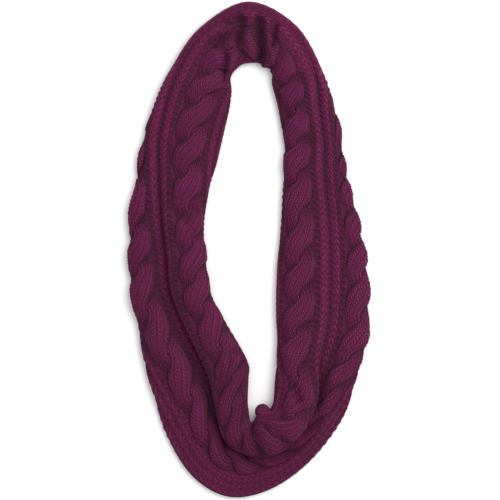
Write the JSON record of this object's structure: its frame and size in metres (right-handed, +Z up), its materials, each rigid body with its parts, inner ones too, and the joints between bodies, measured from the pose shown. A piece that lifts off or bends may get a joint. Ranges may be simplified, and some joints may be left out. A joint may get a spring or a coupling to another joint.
{
  "type": "infinity scarf",
  "caption": "Cable-knit infinity scarf lying flat: one ribbed and cabled panel joined into a long ring, with its edges turned under and an open middle.",
  "frame": {"origin": "on the surface that the scarf lies on, below the middle of its outline", "axes": "+Y along the ring's length towards its gathered top, +X to the right seen from above, +Z up from the surface"},
  "size_m": [0.3474, 0.7046, 0.0412],
  "materials": {
    "knit_yarn": "matt plied yarn, dark plum, knitted in cables and ribs"
  },
  "bodies": {
    "root": {"panel_right_run": "knit_yarn", "panel_bottom_bend": "knit_yarn", "panel_left_run": "knit_yarn", "panel_top_bend": "knit_yarn"}
  },
  "joints": []
}
